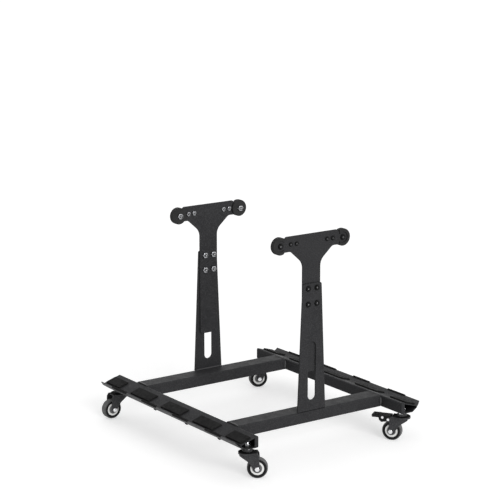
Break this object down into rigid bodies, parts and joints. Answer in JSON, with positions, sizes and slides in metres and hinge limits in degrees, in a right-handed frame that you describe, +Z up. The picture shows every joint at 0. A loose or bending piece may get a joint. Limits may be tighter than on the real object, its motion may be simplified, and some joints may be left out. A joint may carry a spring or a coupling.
{
  "type": "door dolly",
  "caption": "Low steel frame on swivel casters with two bolted T-shaped uprights, rubber bumpers and lipped side rails, for standing vehicle doors on edge.",
  "frame": {"origin": "on the floor, midway between the four caster stems", "axes": "+Z up, +Y along the rails towards the rear (the far end in the picture), +X to the right across the rails"},
  "size_m": [0.5722, 0.6524, 0.5505],
  "materials": {
    "frame_coat": "charcoal black powder coat, fine texture, satin",
    "pad_rubber": "matte black rubber",
    "bumper_rubber": "matte black rubber",
    "bolt_black": "blackened steel, satin",
    "bolt_steel": "zinc plated steel",
    "zinc": "bright zinc plate",
    "caster_steel": "black coated pressed steel, semi gloss",
    "wheel_core": "off-white moulded plastic",
    "hub_cover": "grey moulded plastic",
    "tyre": "dark grey solid rubber tread",
    "pedal_black": "black coated pressed steel, glossy at the toe"
  },
  "bodies": {
    "frame": {"arm_screws": "bolt_black", "bolt_nuts": "bolt_steel", "bracket_bolts": "bolt_black", "bumper_bolts": "bolt_steel", "caster_stems": "zinc", "front_arm_bracket": "frame_coat", "front_bumpers": "bumper_rubber", "front_cross_tube": "frame_coat", "front_upright": "frame_coat", "left_door_pads": "pad_rubber", "left_lip": "frame_coat", "left_lip_guards": "pad_rubber", "left_rail": "frame_coat", "lip_screws": "bolt_black", "rear_arm_bracket": "frame_coat", "rear_bumpers": "bumper_rubber", "rear_cross_tube": "frame_coat", "rear_upright": "frame_coat", "right_door_pads": "pad_rubber", "right_lip": "frame_coat", "right_lip_guards": "pad_rubber", "right_rail": "frame_coat", "stem_nuts": "zinc", "swivel_balls": "zinc", "swivel_cups": "bolt_steel"},
    "front_left_caster": {"front_left_fork": "caster_steel", "front_left_axle_bolt": "zinc", "front_left_axle_nut": "zinc", "front_left_axle_sleeve": "zinc"},
    "front_left_wheel": {"front_left_wheel_core": "wheel_core", "front_left_hub_covers": "hub_cover", "front_left_tyre": "tyre"},
    "front_right_caster": {"front_right_fork": "caster_steel", "front_right_axle_bolt": "zinc", "front_right_axle_nut": "zinc", "front_right_axle_sleeve": "zinc", "front_right_pedal_pin": "zinc"},
    "front_right_wheel": {"front_right_wheel_core": "wheel_core", "front_right_hub_covers": "hub_cover", "front_right_tyre": "tyre"},
    "front_right_pedal": {"front_right_brake_pedal": "pedal_black", "front_right_pedal_rivet": "zinc"},
    "rear_left_caster": {"rear_left_fork": "caster_steel", "rear_left_axle_bolt": "zinc", "rear_left_axle_nut": "zinc", "rear_left_axle_sleeve": "zinc"},
    "rear_left_wheel": {"rear_left_wheel_core": "wheel_core", "rear_left_hub_covers": "hub_cover", "rear_left_tyre": "tyre"},
    "rear_right_caster": {"rear_right_fork": "caster_steel", "rear_right_axle_bolt": "zinc", "rear_right_axle_nut": "zinc", "rear_right_axle_sleeve": "zinc", "rear_right_pedal_pin": "zinc"},
    "rear_right_wheel": {"rear_right_wheel_core": "wheel_core", "rear_right_hub_covers": "hub_cover", "rear_right_tyre": "tyre"},
    "rear_right_pedal": {"rear_right_brake_pedal": "pedal_black", "rear_right_pedal_rivet": "zinc"}
  },
  "joints": [
    {"name": "front_left_swivel", "type": "hinge", "parent": "frame", "child": "front_left_caster", "pos_m": [-0.237, -0.29, 0.064], "axis": [0, 0, 1], "continuous": true},
    {"name": "front_left_roll", "type": "hinge", "parent": "front_left_caster", "child": "front_left_wheel", "pos_m": [-0.21809, -0.30478, 0.025], "axis": [0.6157, 0.788, 0], "continuous": true},
    {"name": "front_right_swivel", "type": "hinge", "parent": "frame", "child": "front_right_caster", "pos_m": [0.237, -0.29, 0.064], "axis": [0, 0, 1], "continuous": true},
    {"name": "front_right_roll", "type": "hinge", "parent": "front_right_caster", "child": "front_right_wheel", "pos_m": [0.2233, -0.27029, 0.025], "axis": [-0.8211, -0.5707, 0], "continuous": true},
    {"name": "front_right_brake", "type": "hinge", "parent": "front_right_caster", "child": "front_right_pedal", "pos_m": [0.21897, -0.26405, 0.0549], "axis": [-0.8211, -0.5707, 0], "range_deg": [0, 10]},
    {"name": "rear_left_swivel", "type": "hinge", "parent": "frame", "child": "rear_left_caster", "pos_m": [-0.237, 0.29, 0.064], "axis": [0, 0, 1], "continuous": true},
    {"name": "rear_left_roll", "type": "hinge", "parent": "rear_left_caster", "child": "rear_left_wheel", "pos_m": [-0.261, 0.29, 0.025], "axis": [0, -1, 0], "continuous": true},
    {"name": "rear_right_swivel", "type": "hinge", "parent": "frame", "child": "rear_right_caster", "pos_m": [0.237, 0.29, 0.064], "axis": [0, 0, 1], "continuous": true},
    {"name": "rear_right_roll", "type": "hinge", "parent": "rear_right_caster", "child": "rear_right_wheel", "pos_m": [0.21438, 0.29803, 0.025], "axis": [-0.3345, -0.9424, 0], "continuous": true},
    {"name": "rear_right_brake", "type": "hinge", "parent": "rear_right_caster", "child": "rear_right_pedal", "pos_m": [0.20722, 0.30057, 0.0549], "axis": [-0.3345, -0.9424, 0], "range_deg": [0, 10]}
  ]
}
